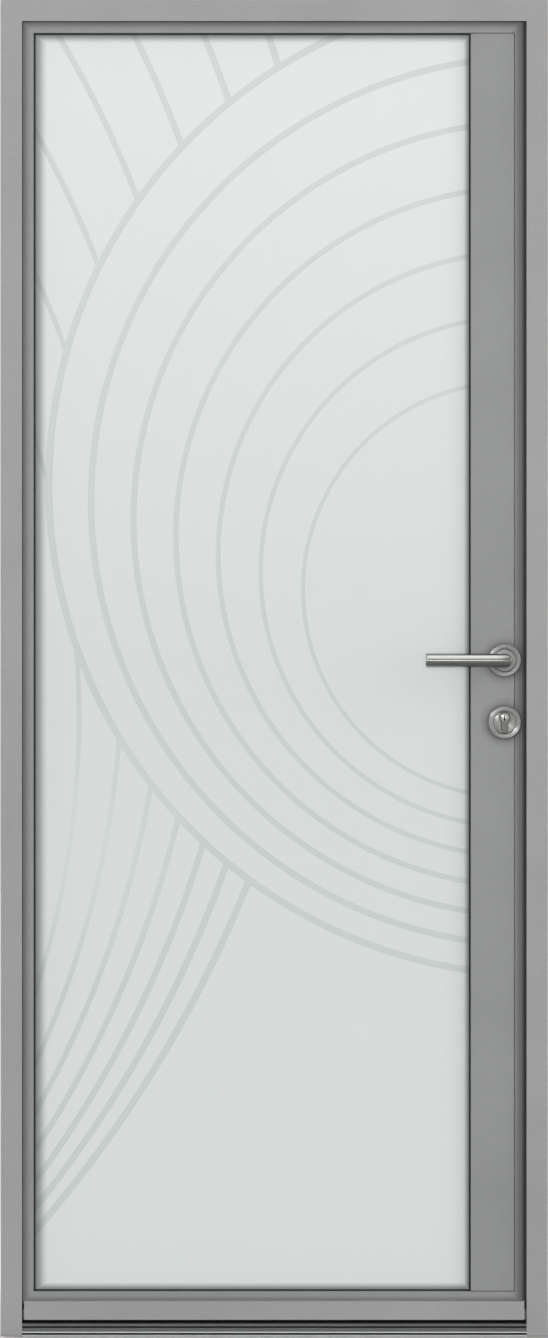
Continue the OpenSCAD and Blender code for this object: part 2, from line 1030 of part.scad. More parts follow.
module door_bottom() {
    roof = door_bottom_z + door_bottom_h;
    color(grey)
        difference() {
            along_x(leaf_x)
                difference() {
                    rect(y_leaf_out, y_leaf_in, door_bottom_z, roof);
                    rect(y_leaf_out + wall, y_break_out - wall, door_bottom_z + wall, roof - wall);
                    rect(y_break_out, y_break_in, door_bottom_z + wall + 4, roof - wall);
                    rect(y_break_in + wall, y_leaf_in - wall, door_bottom_z + wall, roof - wall);
                    rect(y_break_out + 2, y_break_out + 8, door_bottom_z - over, door_bottom_z + 3);
                }
            rod_hole(door_bottom_z - over, roof + over);
        }
}

module bottom_seal() {
    y0 = y_break_out + 2;
    color(black)
        along_x(leaf_x - 1) {
            rect(y0 + groove_fit, y0 + 6 - groove_fit, door_bottom_z - over, door_bottom_z + 3 - groove_fit);
            polygon(rounded([
                [y0 - 1, door_bottom_z, 0],
                [y0 + 0.5, threshold_h + 0.3, 0.8],
                [y0 + 5.5, threshold_h + 0.3, 0.8],
                [y0 + 7, door_bottom_z, 0]
            ]));
        }
}

module drip_bar() {
    foot = threshold_h + sill_gap - 0.5;
    front = y_leaf_out - drip_reach;
    color(grey)
        along_x(frame_x - frame_face - drip_end_gap)
            difference() {
                polygon(rounded([
                    [y_leaf_out, foot, 0],
                    [front, foot, 0.6],
                    [front, foot + drip_h - 1.5, 1],
                    [y_leaf_out, foot + drip_h, 0]
                ]));
                rect(front + wall, y_leaf_out - wall, foot + 2 * wall, foot + drip_h - wall - 1.5);
                rect(front + wall + 1, front + wall + 4, foot - over, foot + wall);
            }
}

// Lock

module lock_case() {
    y0 = lock_y - case_t / 2;
    y1 = lock_y + case_t / 2;
    color(mill)
        difference() {
            block(case_x0, case_x1, y0, y1, case_z0, case_z1);
            block(case_x0 + case_wall, case_x1 - case_wall, y0 + case_wall, y1 - case_wall,
                case_z0 + case_wall, case_z1 - case_wall);
            bolt_openings(case_x1 - case_wall - over, case_x1 + over, slide_gap);
            at_handle()
                through_y(y0 - over, y1 + over)
                    circle(boss_r + run_fit);
            at_cylinder()
                through_y(y0 - over, y1 + over)
                    euro_profile(0.4);
        }
}

module lock_faceplate() {
    color(steel)
        difference() {
            block(case_x1, leaf_x, lock_y - edge_plate_w / 2, lock_y + edge_plate_w / 2,
                case_z0 - plate_end, case_z1 + plate_end);
            bolt_openings(case_x1 - over, leaf_x + over, slide_gap);
        }
}

module latch_bolt() {
    tip = leaf_x + latch_throw;
    half = bolt_t / 2;
    color(steel)
        translate([0, 0, latch_z - latch_h / 2])
            linear_extrude(latch_h)
                polygon([
                    [handle_x + 4, lock_y - half],
                    [leaf_x + 1, lock_y - half],
                    [tip, lock_y + half - 2],
                    [tip, lock_y + half],
                    [handle_x + 4, lock_y + half]
                ]);
}

module deadbolt() {
    half = bolt_t / 2;
    color(steel)
        block(leaf_x - 0.5 - deadbolt_l, leaf_x - 0.5, lock_y - half, lock_y + half,
            deadbolt_z - deadbolt_h / 2, deadbolt_z + deadbolt_h / 2);
}

module follower() {
    body = case_t / 2 - case_wall - 0.3;
    color(steel)
        at_handle()
            difference() {
                union() {
                    through_y(lock_y - body, lock_y + body)
                        circle(follower_r);
                    through_y(lock_y - case_t / 2, lock_y + case_t / 2)
                        circle(boss_r);
                }
                through_y(lock_y - case_t, lock_y + case_t)
                    square(spindle_w + 2 * groove_fit, center = true);
            }
}

module cylinder_body() {
    bore = plug_r + run_fit;
    slot_top = profile_r - profile_h + bridge_h;
    color(brass)
        at_cylinder()
            difference() {
                through_y(cylinder_y0, cylinder_y1)
                    euro_profile();
                through_y(cylinder_y0 - over, cylinder_y1 + over)
                    circle(bore);
                block(-profile_r - over, profile_r + over, lock_y - cam_gap / 2, lock_y + cam_gap / 2,
                    slot_top, profile_r + over);
            }
}

// Waved key slot of the plug.
module keyway() {
    polygon([
        [-1.3, -5], [1.3, -5], [1.3, -2.2], [0.5, -1.4], [0.5, 0.4],
        [1.3, 1.2], [1.3, 4], [-1.1, 4], [-1.1, 1.6], [-1.9, 0.8], [-1.9, -1], [-1.3, -1.8]
    ]);
}

module outer_plug() {
    face = cylinder_y0 - 0.6;
    color(brass)
        at_cylinder()
            difference() {
                through_y(face, lock_y - cam_gap / 2 + 0.4)
                    circle(plug_r);
                through_y(face - over, face + 26)
                    keyway();
            }
}

module cylinder_cam() {
    half = cam_gap / 2 - 0.4;
    color(steel)
        at_cylinder()
            through_y(lock_y - half, lock_y + half) {
                circle(profile_r - 0.2);
                rect(-3.5, 3.5, -cam_r, 0);
            }
}

module thumb_turn() {
    start = cylinder_y1 + 0.6;
    color(steel)
        at_cylinder() {
            through_y(lock_y + cam_gap / 2 - 0.4, start)
                circle(plug_r);
            through_y(start, start + 4)
                circle(9);
            through_y(start + 4, start + 22)
                union() {
                    rect(-4.5, 4.5, -12, 12);
                    for (z = [-12, 12])
                        translate([0, z])
                            circle(4.5);
                }
        }
}

module upper_rod() {
    color(steel)
        translate([rod_x, lock_y, case_z1 + 0.5])
            cylinder(d = rod_d, h = leaf_z1 - 2 - case_z1 - 0.5);
}

module lower_rod() {
    color(steel)
        translate([rod_x, lock_y, door_bottom_z + 0.5])
            cylinder(d = rod_d, h = case_z0 - 0.5 - door_bottom_z - 0.5);
}

// Handles, drawn lying with the face up and the leaf at height 0

module rose_shape(bore) {
    r = rose_d / 2;
    step = rose_step_d / 2;
    rotate_extrude($fn = 96)
        polygon([
            [bore, 0],
            [r, 0],
            [r, rose_t - 2.2],
            [r - 1.2, rose_t - 1.2],
            [step + 0.7, rose_t - 0.5],
            [step + 0.7, rose_t - 1.2],
            [step, rose_t - 1.2],
            [step, rose_t - 0.2],
            [step - 0.3, rose_t],
            [bore, rose_t]
        ]);
}

// Places a shape with its face up on the outside face of the leaf.
module outside(z) {
    translate([handle_x, y_leaf_out, z])
        rotate([90, 0, 0])
            children();
}

// Places the same shape on the inside face, with the lever to the same side.
module inside(z) {
    translate([handle_x, y_leaf_in, z])
        mirror([0, 1, 0])
            rotate([90, 0, 0])
                children();
}

module lever_rose_shape() {
    rose_shape(lever_d / 2 + run_fit);
}

// Rose around the cylinder, moved down so that the whole profile lies in its middle.
module cylinder_rose_shape() {
    drop = profile_h / 2 - profile_r;
    difference() {
        translate([0, -drop, 0])
            rose_shape(0);
        translate([0, 0, -over])
            linear_extrude(rose_t + 2 * over)
                euro_profile(0.4);
    }
}

// Round lever bent by a mitre, with a square socket for the spindle.
module lever_shape() {
    r = lever_d / 2;
    big = 2 * lever_len;
    difference() {
        union() {
            intersection() {
                translate([0, 0, slide_gap])
                    cylinder(d = lever_d, h = lever_reach + r - slide_gap, $fn = 96);
                through_y(-big, big)
                    polygon([
                        [-big, -big], [big, -big], [big, lever_reach + big], [-big, lever_reach - big]
                    ]);
            }
            intersection() {
                translate([-lever_len, 0, lever_reach])
                    rotate([0, 90, 0])
                        cylinder(d = lever_d, h = lever_len + r, $fn = 96);
                through_y(-big, big)
                    polygon([
                        [-big, lever_reach - big], [big, lever_reach + big], [-big, lever_reach + big]
                    ]);
            }
        }
        translate([-spindle_w / 2 - groove_fit, -spindle_w / 2 - groove_fit, 0])
            cube([spindle_w + 2 * groove_fit, spindle_w + 2 * groove_fit, 30]);
    }
}

module outer_lever_rose() {
    color(steel)
        outside(handle_z)
            lever_rose_shape();
}

module inner_lever_rose() {
    color(steel)
        inside(handle_z)
            lever_rose_shape();
}

module outer_cylinder_rose() {
    color(steel)
        outside(cylinder_z)
            cylinder_rose_shape();
}

module inner_cylinder_rose() {
    color(steel)
        inside(cylinder_z)
            cylinder_rose_shape();
}

module outer_lever() {
    color(steel)
        outside(handle_z)
            lever_shape();
}

module inner_lever() {
    color(steel)
        inside(handle_z)
            lever_shape();
}

module spindle() {
    half = spindle_w / 2;
    color(steel)
        at_handle()
            block(-half, half, y_leaf_out - 29, y_leaf_in + 29, -half, half);
}

// Drawing

hinge_jamb_outer();
hinge_jamb_inner();
lock_jamb_outer();
lock_jamb_inner();
head_outer();
head_inner();
frame_breaks();
frame_cleats();
threshold_outer();
threshold_inner();
frame_seal();
lock_keep();
head_keep();
hinge_jamb_flaps();
hinge_pins();
hinge_stile_outer();
hinge_stile_inner();
lock_stile_outer();
lock_stile_inner();
top_rail_outer();
top_rail_inner();
bottom_rail_outer();
bottom_rail_inner();
leaf_breaks();
leaf_cleats();
lock_post();
lock_strip_outer();
lock_strip_inner();
outer_pane();
pane_spacer();
inner_pane();
outer_gasket();
inner_gasket();
hinge_side_bead();
lock_side_bead();
top_bead();
bottom_bead();
setting_blocks();
door_bottom();
bottom_seal();
drip_bar();
hinge_leaf_flaps();
lock_case();
lock_faceplate();
cylinder_body();
outer_lever_rose();
inner_lever_rose();
outer_cylinder_rose();
inner_cylinder_rose();
outer_lever();
inner_lever();
spindle();
follower();
latch_bolt();
deadbolt();
outer_plug();
cylinder_cam();
thumb_turn();
upper_rod();
lower_rod();
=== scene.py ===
import math

import bmesh
import bpy
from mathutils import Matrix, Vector


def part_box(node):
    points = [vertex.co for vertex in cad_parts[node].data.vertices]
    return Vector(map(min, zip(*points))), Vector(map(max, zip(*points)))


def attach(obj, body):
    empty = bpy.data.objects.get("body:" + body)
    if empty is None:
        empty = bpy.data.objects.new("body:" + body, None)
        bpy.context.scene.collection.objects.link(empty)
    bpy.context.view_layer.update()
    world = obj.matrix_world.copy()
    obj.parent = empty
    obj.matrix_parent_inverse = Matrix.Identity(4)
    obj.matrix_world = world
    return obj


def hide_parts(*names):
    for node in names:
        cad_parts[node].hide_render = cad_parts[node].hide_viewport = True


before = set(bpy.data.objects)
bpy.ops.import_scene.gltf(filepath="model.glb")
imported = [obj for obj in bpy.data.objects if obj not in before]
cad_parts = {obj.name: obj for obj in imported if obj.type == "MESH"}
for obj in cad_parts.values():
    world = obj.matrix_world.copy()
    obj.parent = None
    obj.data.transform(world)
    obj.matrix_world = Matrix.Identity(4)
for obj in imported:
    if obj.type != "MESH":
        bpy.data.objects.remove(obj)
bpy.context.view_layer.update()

MM = 0.001

X, Y, Z = 0, 1, 2


# Places and sizes of the part in millimetres, from its solids


def box(node):
    """Lowest and highest corner of a solid, in mm to the micron."""
    return [[round(value / MM, 3) for value in corner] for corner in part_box(node)]


def middle_of(node):
    """Middle of a solid's box, in mm."""
    low, high = box(node)
    return [(a + b) / 2 for a, b in zip(low, high)]


rose_low, rose_high = box("outer_lever_rose")
lever_low, lever_high = box("outer_lever")
pins_low, pins_high = box("hinge_pins")
HANDLE_X = middle_of("outer_lever_rose")[X]
HANDLE_Z = middle_of("outer_lever_rose")[Z]
CYLINDER_Z = middle_of("thumb_turn")[Z]
LOWER_ROSE_Z = middle_of("outer_cylinder_rose")[Z]
ROSE_RADIUS = (rose_high[Z] - rose_low[Z]) / 2
ROSE_MIDDLES = ((HANDLE_X, HANDLE_Z), (HANDLE_X, LOWER_ROSE_Z))
# faces of the leaf that the roses stand on
OUTER_FACE = rose_high[Y]
INNER_FACE = box("inner_lever_rose")[0][Y]
LEVER_RADIUS = (lever_high[Z] - lever_low[Z]) / 2
# from the leaf's face to the middle of the grip, and from the lever's axis to the end of the grip
LEVER_REACH = OUTER_FACE - lever_low[Y] - LEVER_RADIUS
LEVER_LENGTH = HANDLE_X - lever_low[X]
HINGE_X = middle_of("hinge_pins")[X]
HINGE_Y = middle_of("hinge_pins")[Y]
BARREL_HALF = 50
HINGE_LEVELS = (pins_low[Z] + BARREL_HALF, middle_of("hinge_pins")[Z], pins_high[Z] - BARREL_HALF)


# Colours, nodes and materials


def linear(hex_colour):
    """Turns an sRGB hex colour into linear RGBA."""
    values = [int(hex_colour[i:i + 2], 16) / 255 for i in (1, 3, 5)]
    return [v / 12.92 if v <= 0.04045 else ((v + 0.055) / 1.055) ** 2.4 for v in values] + [1.0]


WHITE = linear("#ffffff")


def add(tree, kind, inputs=None, **settings):
    """Adds a node with its settings; an input is a plain value or the socket that feeds it."""
    node = tree.nodes.new(kind)
    for name, value in settings.items():
        setattr(node, name, value)
    for key, value in (inputs or {}).items():
        if isinstance(value, bpy.types.NodeSocket):
            tree.links.new(value, node.inputs[key])
        else:
            node.inputs[key].default_value = value
    return node


# sockets of a colour mix: the share of the second colour, the two colours and the result
SHARE, FIRST, SECOND, MIXED = 0, 6, 7, 2


def set_stops(ramp, stops):
    """Gives a colour ramp its stops from 0 to 1, each a share and an sRGB hex colour."""
    ramp.elements[0].color = linear(stops[0][1])
    ramp.elements[1].color = linear(stops[-1][1])
    for at, colour in stops[1:-1]:
        ramp.elements.new(at).color = linear(colour)


def feed(tree, shader, sockets):
    """Links inputs of the shader, by name, to the sockets that feed them."""
    for name, socket in sockets.items():
        tree.links.new(socket, shader.inputs[name])


def start_material(name, roughness, metallic=0.0):
    """A new material with its tree, its shader and the place on the object in metres."""
    material = bpy.data.materials.new(name)
    material.use_nodes = True
    tree = material.node_tree
    tree.nodes.clear()
    shader = add(tree, "ShaderNodeBsdfPrincipled", {"Roughness": roughness, "Metallic": metallic})
    add(tree, "ShaderNodeOutputMaterial", {"Surface": shader.outputs["BSDF"]})
    place = add(tree, "ShaderNodeTexCoord").outputs["Object"]
    return material, tree, shader, place


def per_mm(size):
    """Texture scale that gives one feature each so many millimetres."""
    return 1 / (size * MM)


def nearest(tree, place, lines):
    """Distance to the nearest of some lines, each an axis, a place in mm and a width that counts as 1."""
    axes = add(tree, "ShaderNodeSeparateXYZ", {0: place})
    near = []
    for axis, at, width in lines:
        away = add(tree, "ShaderNodeMath", {0: axes.outputs[axis], 1: at * MM}, operation="SUBTRACT")
        share = add(tree, "ShaderNodeMath", {0: away.outputs[0], 1: 1 / (width * MM)}, operation="MULTIPLY")
        near.append(share.outputs[0])
    while len(near) > 1:
        pair = {0: near.pop(0), 1: near.pop(0)}
        near.append(add(tree, "ShaderNodeMath", pair, operation="MINIMUM").outputs[0])
    return near[0]


def out_from_axis(tree, place, x, z):
    """Way straight out from an axis along Y at x and z in mm, and the distance from it."""
    middle = add(tree, "ShaderNodeVectorMath", {0: place, 1: (x * MM, 0.0, z * MM)}, operation="SUBTRACT")
    flat = add(tree, "ShaderNodeVectorMath", {0: middle.outputs[0], 1: (1.0, 0.0, 1.0)},
               operation="MULTIPLY")
    radius = add(tree, "ShaderNodeVectorMath", {0: flat.outputs[0]}, operation="LENGTH")
    return flat.outputs[0], radius.outputs["Value"]


def powder_coat(name, dark, light, painted_shade_lines=(), roses=()):
    # Polyester powder on aluminium, sprayed and baked: matt, with an even fine speckle
    # and a faint orange peel that breaks up the highlights. Along the shade lines, where the
    # outer face meets a step, shade is painted into the colour, and a painted shadow rings
    # the roses, given by the x and z of their middles.
    material, tree, shader, place = start_material(name, 0.5)
    # grit of 0.4 mm, drawn 3 mm wide so that it shows in the render
    grit = add(tree, "ShaderNodeTexNoise",
               {"Vector": place, "Scale": per_mm(3), "Detail": 3.0, "Roughness": 0.65}).outputs["Fac"]
    # slow changes in the thickness of the coat
    cloud = add(tree, "ShaderNodeTexNoise", {"Vector": place, "Scale": per_mm(160), "Detail": 2.0})
    both = add(tree, "ShaderNodeMath", {0: grit, 1: cloud.outputs["Fac"]}, operation="ADD")
    level = add(tree, "ShaderNodeMapRange", {"Value": both.outputs[0], "From Min": 0.6, "From Max": 1.4})
    colour = add(tree, "ShaderNodeMix",
                 {SHARE: level.outputs[0], FIRST: linear(dark), SECOND: linear(light)},
                 data_type="RGBA").outputs[MIXED]
    rough = add(tree, "ShaderNodeMapRange", {"Value": grit, "To Min": 0.44, "To Max": 0.6})
    peel = add(tree, "ShaderNodeBump", {"Height": grit, "Strength": 0.12, "Distance": 0.2 * MM})
    if painted_shade_lines:
        # painted shade: darkest at the step, gone at the line's width from it, on the outer faces only
        painted_shade = add(tree, "ShaderNodeValToRGB", {"Fac": nearest(tree, place, painted_shade_lines)})
        painted_shade.color_ramp.interpolation = "EASE"
        set_stops(painted_shade.color_ramp, ((0, "#454545"), (0.25, "#bcbcbc"), (1, "#ffffff")))
        depth = add(tree, "ShaderNodeSeparateXYZ", {0: place})
        outside = add(tree, "ShaderNodeMath", {0: depth.outputs["Y"], 1: -20 * MM}, operation="LESS_THAN")
        colour = add(tree, "ShaderNodeMix",
                     {SHARE: outside.outputs[0], FIRST: colour, SECOND: painted_shade.outputs["Color"]},
                     data_type="RGBA", blend_type="MULTIPLY").outputs[MIXED]
    for x, z in roses:
        radius = out_from_axis(tree, place, x, z)[1]
        # painted shadow round the rose, reaching 16 mm past its rim
        past = add(tree, "ShaderNodeMapRange",
                   {"Value": radius, "From Min": ROSE_RADIUS * MM, "From Max": (ROSE_RADIUS + 16) * MM})
        rose_shadow = add(tree, "ShaderNodeValToRGB", {"Fac": past.outputs[0]})
        set_stops(rose_shadow.color_ramp, ((0, "#b2b2b2"), (0.2, "#d4d4d4"), (0.4, "#ebebeb"), (1, "#ffffff")))
        colour = add(tree, "ShaderNodeMix", {SHARE: 1.0, FIRST: colour, SECOND: rose_shadow.outputs["Color"]},
                     data_type="RGBA", blend_type="MULTIPLY").outputs[MIXED]
    feed(tree, shader,
         {"Base Color": colour, "Roughness": rough.outputs[0], "Normal": peel.outputs["Normal"]})
    return material


def brushed_metal(name, dark, light, stretch, roughness):
    # Metal ground with a belt: long fine scratches along one direction that spread
    # the highlights across it. stretch is how long the scratches are on each axis.
    material, tree, shader, place = start_material(name, roughness, 1.0)
    # scratches of 0.1 mm, drawn 0.9 mm wide so that they show in the render
    drawn = add(tree, "ShaderNodeMapping",
                {"Vector": place, "Scale": [per_mm(0.9) / length for length in stretch]})
    scratch = add(tree, "ShaderNodeTexNoise",
                  {"Vector": drawn.outputs[0], "Scale": 1.0, "Detail": 4.0, "Roughness": 0.6}).outputs["Fac"]
    tone = add(tree, "ShaderNodeMix", {SHARE: scratch, FIRST: linear(dark), SECOND: linear(light)},
               data_type="RGBA").outputs[MIXED]
    rough = add(tree, "ShaderNodeMapRange",
                {"Value": scratch, "To Min": roughness * 0.7, "To Max": roughness * 1.4})
    relief = add(tree, "ShaderNodeBump", {"Height": scratch, "Strength": 0.1, "Distance": 0.1 * MM})
    feed(tree, shader,
         {"Base Color": tone, "Roughness": rough.outputs[0], "Normal": relief.outputs["Normal"]})
    return material


def turned_metal(name, dark, light, axis_x, axis_z):
    # Stainless steel faced on a lathe: scratches run in circles round the axis,
    # so the highlight fans out from the middle.
    material, tree, shader, place = start_material(name, 0.29, 1.0)
    flat, radius = out_from_axis(tree, place, axis_x, axis_z)
    # turning marks of 0.1 mm, drawn 0.7 mm apart so that they show
    marks = add(tree, "ShaderNodeTexNoise", {"W": radius, "Scale": per_mm(0.7), "Detail": 4.0},
                noise_dimensions="1D").outputs["Fac"]
    tone = add(tree, "ShaderNodeMix", {SHARE: marks, FIRST: linear(dark), SECOND: linear(light)},
               data_type="RGBA").outputs[MIXED]
    # painted shade in the ring groove
    groove = add(tree, "ShaderNodeMath", {0: radius, 1: 18.2 * MM, 2: 0.5 * MM}, operation="COMPARE")
    ring_shaded = add(tree, "ShaderNodeMix", {SHARE: groove.outputs[0], FIRST: tone, SECOND: linear("#6c6d6b")},
                 data_type="RGBA").outputs[MIXED]
    rough = add(tree, "ShaderNodeMapRange", {"Value": marks, "To Min": 0.21, "To Max": 0.37})
    relief = add(tree, "ShaderNodeBump", {"Height": marks, "Strength": 0.12, "Distance": 0.1 * MM})
    # the highlight stretches across the marks, which is straight out from the axis
    spread = add(tree, "ShaderNodeVectorTransform", {0: flat},
                 vector_type="VECTOR", convert_from="OBJECT", convert_to="WORLD")
    shader.inputs["Anisotropic"].default_value = 0.9
    feed(tree, shader,
         {"Base Color": ring_shaded, "Roughness": rough.outputs[0], "Normal": relief.outputs["Normal"],
          "Tangent": spread.outputs[0]})
    return material


def threshold_aluminium():
    # Aluminium extruded and left natural: fine die lines along its length, a dull grey face,
    # and a nose at the floor that shoes scratch, painted much brighter as painted light on its top.
    material, tree, shader, place = start_material("natural_extruded_aluminium", 0.36, 1.0)
    # die lines of 0.2 mm, drawn 1.2 mm apart so that they show
    along = add(tree, "ShaderNodeMapping",
                {"Vector": place, "Scale": [per_mm(120), per_mm(1.2), per_mm(1.2)]})
    lines = add(tree, "ShaderNodeTexNoise",
                {"Vector": along.outputs[0], "Scale": 1.0, "Detail": 3.0}).outputs["Fac"]
    dull = add(tree, "ShaderNodeMix", {SHARE: lines, FIRST: linear("#67696a"), SECOND: linear("#767879")},
               data_type="RGBA").outputs[MIXED]
    axes = add(tree, "ShaderNodeSeparateXYZ", {0: place})
    nose = add(tree, "ShaderNodeMapRange",
               {"Value": axes.outputs["Y"], "From Min": -39.0 * MM, "From Max": -38.6 * MM,
                "To Min": 1.0, "To Max": 0.0}).outputs[0]
    # scuffs of about the width of a shoe's edge, over the painted highlight on the nose
    scuffs = add(tree, "ShaderNodeTexNoise", {"Vector": place, "Scale": per_mm(14), "Detail": 5.0})
    worn_and_lit = add(tree, "ShaderNodeMix",
               {SHARE: scuffs.outputs["Fac"], FIRST: linear("#c6c8c9"), SECOND: linear("#dfe1e2")},
               data_type="RGBA").outputs[MIXED]
    surface = add(tree, "ShaderNodeMix", {SHARE: nose, FIRST: dull, SECOND: worn_and_lit},
                  data_type="RGBA").outputs[MIXED]
    # painted shade in the two grooves of the outer face, below the tread
    inset = add(tree, "ShaderNodeMapRange",
                {"Value": axes.outputs["Y"], "From Min": -38.3 * MM, "From Max": -36.5 * MM})
    below = add(tree, "ShaderNodeMath", {0: axes.outputs["Z"], 1: 17 * MM}, operation="LESS_THAN")
    under_tread_shade = add(tree, "ShaderNodeMath", {0: inset.outputs[0], 1: below.outputs[0]}, operation="MULTIPLY")
    under_tread_shaded = add(tree, "ShaderNodeMix", {SHARE: under_tread_shade.outputs[0], FIRST: surface, SECOND: linear("#2b2b2a")},
                 data_type="RGBA").outputs[MIXED]
    rough = add(tree, "ShaderNodeMapRange", {"Value": nose, "To Min": 0.36, "To Max": 0.7})
    metal = add(tree, "ShaderNodeMapRange", {"Value": nose, "To Min": 1.0, "To Max": 0.3})
    relief = add(tree, "ShaderNodeBump", {"Height": lines, "Strength": 0.15, "Distance": 0.1 * MM})
    feed(tree, shader,
         {"Base Color": under_tread_shaded, "Roughness": rough.outputs[0], "Metallic": metal.outputs[0],
          "Normal": relief.outputs["Normal"]})
    return material


def plug_metal():
    # Brass, nickel plated and polished: bright face with faint key scratches, and a key slot
    # with painted shade, dark from a short way in.
    material, tree, shader, place = start_material("polished_nickel", 0.14, 1.0)
    # scratches of 0.1 mm, drawn 1.5 mm wide so that they show
    scratch = add(tree, "ShaderNodeTexNoise",
                  {"Vector": place, "Scale": per_mm(1.5), "Detail": 4.0}).outputs["Fac"]
    tone = add(tree, "ShaderNodeMix", {SHARE: scratch, FIRST: linear("#a5a49f"), SECOND: linear("#c2c1bc")},
               data_type="RGBA").outputs[MIXED]
    axes = add(tree, "ShaderNodeSeparateXYZ", {0: place})
    # painted shade inside the key slot, dark from about a millimetre in
    depth = add(tree, "ShaderNodeMapRange",
                {"Value": axes.outputs["Y"], "From Min": -33.0 * MM, "From Max": -32.4 * MM}).outputs[0]
    slot_shaded = add(tree, "ShaderNodeMix", {SHARE: depth, FIRST: tone, SECOND: linear("#0b0b0a")},
                data_type="RGBA").outputs[MIXED]
    rough = add(tree, "ShaderNodeMapRange", {"Value": depth, "To Min": 0.14, "To Max": 0.6})
    relief = add(tree, "ShaderNodeBump", {"Height": scratch, "Strength": 0.08, "Distance": 0.1 * MM})
    feed(tree, shader,
         {"Base Color": slot_shaded, "Roughness": rough.outputs[0], "Normal": relief.outputs["Normal"]})
    return material


def plain_grain(name, dark, light, grain_mm, roughness, metallic=0.0, bump=0.1):
    # Moulded, woven or plated surface: an even fine grain in colour, gloss and relief.
    material, tree, shader, place = start_material(name, roughness, metallic)
    # a real grain of 0.1 to 0.3 mm, drawn some millimetres wide so that it shows
    grain = add(tree, "ShaderNodeTexNoise",
                {"Vector": place, "Scale": per_mm(grain_mm), "Detail": 4.0, "Roughness": 0.6}).outputs["Fac"]
    tone = add(tree, "ShaderNodeMix", {SHARE: grain, FIRST: linear(dark), SECOND: linear(light)},
               data_type="RGBA").outputs[MIXED]
    rough = add(tree, "ShaderNodeMapRange",
                {"Value": grain, "To Min": roughness - 0.08, "To Max": roughness + 0.08})
    relief = add(tree, "ShaderNodeBump", {"Height": grain, "Strength": bump, "Distance": 0.2 * MM})
    feed(tree, shader,
         {"Base Color": tone, "Roughness": rough.outputs[0], "Normal": relief.outputs["Normal"]})
    return material


def frosted_pane():
    # Toughened glass, sandblasted and satin sealed: milky and slightly green, with painted light
    # that makes it palest at the top and the foot. The etched rings are cut half a millimetre deep and look
    # a shade darker.
    material, tree, shader, place = start_material("sandblasted_glass", 0.42)
    shader.inputs["IOR"].default_value = 1.52
    axes = add(tree, "ShaderNodeSeparateXYZ", {0: place})
    # the pane's tint with painted light: palest at the top, then the foot, darkest near mid height
    height = add(tree, "ShaderNodeMapRange",
                 {"Value": axes.outputs["Z"], "From Min": 70 * MM, "From Max": 2100 * MM})
    tint_and_light = add(tree, "ShaderNodeValToRGB", {"Fac": height.outputs[0]})
    set_stops(tint_and_light.color_ramp,
              ((0, "#d8dddb"), (0.25, "#d3d8d6"), (0.5, "#d0d5d3"), (0.8, "#d7dbda"), (1, "#dcdfde")))
    # the floor of a ring lies 0.5 mm behind the pane's face at -4 mm
    ring = add(tree, "ShaderNodeMath",
               {0: axes.outputs["Y"], 1: -3.5 * MM, 2: 0.2 * MM}, operation="COMPARE").outputs[0]
    # the rings fade a little low on the hinge side
    faint = add(tree, "ShaderNodeVectorMath", {0: place, 1: (-340 * MM, 0.0, 790 * MM)},
                operation="DISTANCE")
    strength = add(tree, "ShaderNodeMapRange",
                   {"Value": faint.outputs["Value"], "From Min": 60 * MM, "From Max": 240 * MM,
                    "To Min": 0.35})
    etched = add(tree, "ShaderNodeMath", {0: ring, 1: strength.outputs[0]}, operation="MULTIPLY")
    shade = add(tree, "ShaderNodeMix", {SHARE: etched.outputs[0], FIRST: WHITE, SECOND: linear("#eceeed")},
                data_type="RGBA").outputs[MIXED]
    # blasting grit of 0.2 mm, drawn 4 mm wide so that it shows
    grit = add(tree, "ShaderNodeTexNoise",
               {"Vector": place, "Scale": per_mm(4), "Detail": 4.0, "Roughness": 0.7}).outputs["Fac"]
    speckle = add(tree, "ShaderNodeMix", {SHARE: grit, FIRST: linear("#fafbfb"), SECOND: WHITE},
                  data_type="RGBA").outputs[MIXED]
    # painted shade of the spacer and the profiles behind the frosting darkens a band along the edges,
    # 20 mm wide on the hinge side and 9 to 14 mm on the others
    edges = nearest(tree, place,
                    (("X", -384.5, 20), ("X", 313.5, -9), ("Z", 74.0, 12), ("Z", 2094.5, -14)))
    edge_shade = add(tree, "ShaderNodeValToRGB", {"Fac": edges})
    edge_shade.color_ramp.interpolation = "EASE"
    set_stops(edge_shade.color_ramp, ((0, "#9da09f"), (1, "#ffffff")))
    colour = tint_and_light.outputs["Color"]
    for layer in (shade, speckle, edge_shade.outputs["Color"]):
        colour = add(tree, "ShaderNodeMix", {SHARE: 1.0, FIRST: colour, SECOND: layer},
                     data_type="RGBA", blend_type="MULTIPLY").outputs[MIXED]
    rough = add(tree, "ShaderNodeMapRange", {"Value": ring, "To Min": 0.45, "To Max": 0.3})
    relief = add(tree, "ShaderNodeBump", {"Height": grit, "Strength": 0.05, "Distance": 0.1 * MM})
    feed(tree, shader,
         {"Base Color": colour, "Roughness": rough.outputs[0], "Normal": relief.outputs["Normal"]})
    return material


def clear_pane():
    # Float glass: clear, with the faint green of its iron and slow waves in its gloss.
    material, tree, shader, place = start_material("clear_float_glass", 0.03)
    shader.inputs["IOR"].default_value = 1.52
    shader.inputs["Alpha"].default_value = 0.16
    waves = add(tree, "ShaderNodeTexNoise",
                {"Vector": place, "Scale": per_mm(220), "Detail": 1.0}).outputs["Fac"]
    tint = add(tree, "ShaderNodeMix", {SHARE: waves, FIRST: linear("#d5e0da"), SECOND: linear("#dfe8e4")},
               data_type="RGBA").outputs[MIXED]
    relief = add(tree, "ShaderNodeBump", {"Height": waves, "Strength": 0.02, "Distance": 1 * MM})
    feed(tree, shader, {"Base Color": tint, "Normal": relief.outputs["Normal"]})
    return material


frame_coat = powder_coat("powder_coat_frame", "#8f8f8f", "#9b9b9b")
